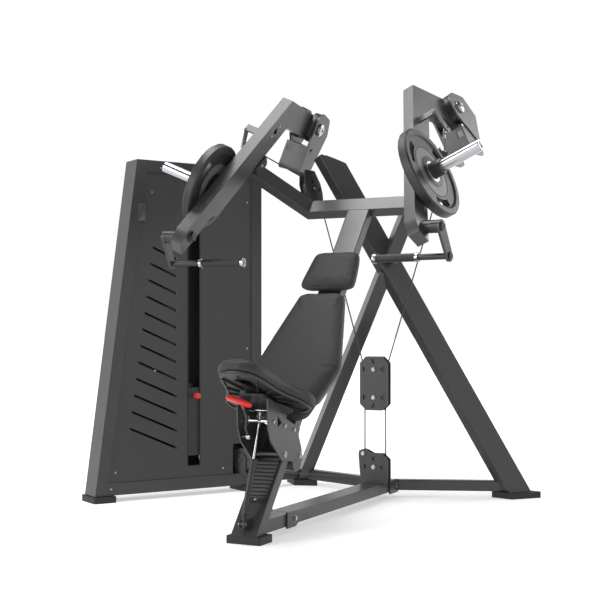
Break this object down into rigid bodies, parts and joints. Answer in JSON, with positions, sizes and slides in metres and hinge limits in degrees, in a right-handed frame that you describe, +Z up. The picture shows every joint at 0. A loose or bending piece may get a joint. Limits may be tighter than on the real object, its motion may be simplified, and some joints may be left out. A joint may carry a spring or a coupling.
{
  "type": "shoulder press machine",
  "caption": "Seated incline shoulder press machine: leaning padded bench, two overhead arms with plate horns, cables to a side weight-stack tower.",
  "frame": {"origin": "the middle of the machine's footprint, on the floor", "axes": "+Z up; the sitter faces -Y, so +X is the sitter's left, and the weight tower stands on the -X side"},
  "size_m": [1.9452, 1.8024, 1.8615],
  "materials": {
    "frame_paint": "charcoal fine-textured powder coat",
    "panel_paint": "charcoal fine-textured powder coat",
    "rubber": "matt black",
    "upholstery": "matt black synthetic leather",
    "black_plastic": "matt black moulded plastic",
    "chrome": "polished chrome",
    "zinc_steel": "zinc-plated steel",
    "red_plastic": "red moulded plastic",
    "stack_iron": "matt black painted iron",
    "plate_rubber": "matt black rubber-coated iron",
    "cable_black": "black nylon-coated steel cable"
  },
  "bodies": {
    "base": {"arm_stop_left": "rubber", "arm_stop_right": "rubber", "backrest_cushion": "upholstery", "backrest_shell": "black_plastic", "base_bracket": "frame_paint", "base_frame": "frame_paint", "base_pulley_block": "frame_paint", "crossbar": "frame_paint", "front_foot_pad": "rubber", "guide_bracket_left": "frame_paint", "guide_bracket_right": "frame_paint", "guide_rod_left": "chrome", "guide_rod_right": "chrome", "headrest": "upholstery", "pivot_bracket_left": "frame_paint", "pivot_bracket_right": "frame_paint", "pivot_pin_left": "zinc_steel", "pivot_pin_right": "zinc_steel", "press_cable": "cable_black", "rear_foot_pad_left": "rubber", "rear_foot_pad_right": "rubber", "spine_cover": "black_plastic", "spine_tube": "frame_paint", "stack_cable": "cable_black", "stack_resting": "stack_iron", "tower_back_panel": "panel_paint", "tower_foot_pad_left": "rubber", "tower_foot_pad_right": "rubber", "tower_frame": "frame_paint", "tower_front_panel": "panel_paint", "x_tube_left_foot": "frame_paint", "x_tube_right_foot_lower": "frame_paint", "x_tube_right_foot_upper": "frame_paint"},
    "arm_left": {"press_arm_left": "frame_paint", "plate_horn_left": "chrome"},
    "arm_right": {"press_arm_right": "frame_paint", "plate_horn_right": "chrome"},
    "handle_left": {"handle_link_left": "frame_paint", "handle_grip_left": "rubber"},
    "handle_right": {"handle_link_right": "frame_paint", "handle_grip_right": "rubber"},
    "plate_left": {"weight_plate_left": "plate_rubber"},
    "plate_right": {"weight_plate_right": "plate_rubber"},
    "guide_wheel_left": {"guide_pulley_left": "black_plastic"},
    "guide_wheel_right": {"guide_pulley_right": "black_plastic"},
    "block": {"floating_block": "frame_paint"},
    "block_wheel_upper": {"floating_pulley_upper": "black_plastic"},
    "block_wheel_lower": {"floating_pulley_lower": "black_plastic"},
    "base_wheel": {"base_pulley": "black_plastic"},
    "tower_wheel_foot": {"tower_foot_pulley": "black_plastic"},
    "roof_wheel_first": {"roof_pulley_first": "black_plastic"},
    "roof_wheel_second": {"roof_pulley_second": "black_plastic"},
    "seat": {"seat_carriage": "frame_paint", "seat_cushion": "upholstery", "seat_shell": "black_plastic"},
    "lever": {"release_lever": "zinc_steel"},
    "gas_body": {"gas_cylinder": "black_plastic"},
    "gas_piston": {"gas_rod": "chrome"},
    "stack": {"stack_lifted": "stack_iron"},
    "pin": {"selector_pin": "red_plastic"}
  },
  "joints": [
    {"name": "press_left", "type": "hinge", "parent": "base", "child": "arm_left", "pos_m": [0.59099, 0.4548, 1.769], "axis": [-0.9121, 0.09, -0.4], "range_deg": [0, 42], "deforming": ["press_cable"]},
    {"name": "press_right", "type": "hinge", "parent": "base", "child": "arm_right", "pos_m": [-0.10901, 0.4548, 1.769], "axis": [-0.9121, -0.09, 0.4], "range_deg": [0, 42]},
    {"name": "grip_tilt_left", "type": "hinge", "parent": "arm_left", "child": "handle_left", "pos_m": [0.80099, -0.3812, 1.186], "axis": [0.991, -0.134, 0], "range_deg": [-15, 15]},
    {"name": "grip_tilt_right", "type": "hinge", "parent": "arm_right", "child": "handle_right", "pos_m": [-0.31901, -0.3812, 1.186], "axis": [-0.991, -0.134, 0], "range_deg": [-15, 15]},
    {"name": "plate_slide_left", "type": "slide", "parent": "arm_left", "child": "plate_left", "axis": [0.9121, -0.09, 0.4], "range_m": [0, 0.15]},
    {"name": "plate_slide_right", "type": "slide", "parent": "arm_right", "child": "plate_right", "axis": [-0.9121, -0.09, 0.4], "range_m": [0, 0.15]},
    {"name": "guide_turn_left", "type": "hinge", "parent": "base", "child": "guide_wheel_left", "pos_m": [0.56299, 0.4288, 1.455], "axis": [0.9225, 0.2564, -0.2886], "range_deg": [0, 208.35]},
    {"name": "guide_turn_right", "type": "hinge", "parent": "base", "child": "guide_wheel_right", "pos_m": [-0.08101, 0.4288, 1.455], "axis": [0.9225, -0.2564, 0.2886], "range_deg": [0, 208.35]},
    {"name": "block_rise", "type": "slide", "parent": "base", "child": "block", "axis": [0, 0, 1], "range_m": [0, 0.16]},
    {"name": "block_turn_upper", "type": "hinge", "parent": "block", "child": "block_wheel_upper", "pos_m": [0.24099, 0.4468, 0.608], "axis": [0, -1, 0], "continuous": true},
    {"name": "block_turn_lower", "type": "hinge", "parent": "block", "child": "block_wheel_lower", "pos_m": [0.24099, 0.4468, 0.478], "axis": [0, -1, 0], "range_deg": [0, 176.29]},
    {"name": "base_turn", "type": "hinge", "parent": "base", "child": "base_wheel", "pos_m": [0.24099, 0.4468, 0.155], "axis": [0, -1, 0], "range_deg": [0, 352.59]},
    {"name": "tower_turn_foot", "type": "hinge", "parent": "base", "child": "tower_wheel_foot", "pos_m": [-0.46661, 0.4468, 0.155], "axis": [0, -1, 0], "range_deg": [0, 352.59]},
    {"name": "tower_turn_first", "type": "hinge", "parent": "base", "child": "roof_wheel_first", "pos_m": [-0.54524, 0.40211, 1.46], "axis": [-0.859, 0.512, 0], "range_deg": [0, 352.59]},
    {"name": "tower_turn_second", "type": "hinge", "parent": "base", "child": "roof_wheel_second", "pos_m": [-0.61856, 0.2791, 1.46], "axis": [-0.859, 0.512, 0], "range_deg": [0, 352.59]},
    {"name": "stack_rise", "type": "slide", "parent": "base", "child": "stack", "axis": [0, 0, 1], "range_m": [0, 0.32], "deforming": ["stack_cable"]},
    {"name": "pin_pull", "type": "slide", "parent": "stack", "child": "pin", "axis": [0.859, -0.512, 0], "range_m": [0, 0.06]},
    {"name": "seat_height", "type": "slide", "parent": "base", "child": "seat", "axis": [0, 0.6347, 0.7727], "range_m": [-0.12, 0]},
    {"name": "lever_squeeze", "type": "hinge", "parent": "seat", "child": "lever", "pos_m": [0.21099, -0.7192, 0.389], "axis": [1, 0, 0], "range_deg": [0, 12], "stiffness_Nm_per_rad": 2},
    {"name": "gas_lean", "type": "hinge", "parent": "base", "child": "gas_body", "pos_m": [0.24099, -0.8202, 0.076], "axis": [-1, 0, 0], "range_deg": [-7.21, 0]},
    {"name": "gas_stroke", "type": "slide", "parent": "gas_body", "child": "gas_piston", "axis": [0, 0.3341, 0.9425], "range_m": [-0.1103, 0]}
  ],
  "couplings": [
    {"joint": "press_right", "follows": "press_left", "ratio": 1},
    {"joint": "guide_turn_left", "follows": "press_left", "ratio": 4.9607},
    {"joint": "guide_turn_right", "follows": "press_left", "ratio": 4.9607},
    {"joint": "block_rise", "follows": "press_left", "m_per_rad": 0.21827},
    {"joint": "block_turn_lower", "follows": "press_left", "ratio": 4.1975},
    {"joint": "base_turn", "follows": "press_left", "ratio": 8.395},
    {"joint": "tower_turn_foot", "follows": "press_left", "ratio": 8.395},
    {"joint": "tower_turn_first", "follows": "press_left", "ratio": 8.395},
    {"joint": "tower_turn_second", "follows": "press_left", "ratio": 8.395},
    {"joint": "stack_rise", "follows": "press_left", "m_per_rad": 0.43654},
    {"joint": "gas_lean", "follows": "seat_height", "rad_per_m": 1.0485},
    {"joint": "gas_stroke", "follows": "seat_height", "ratio": 0.91896}
  ]
}
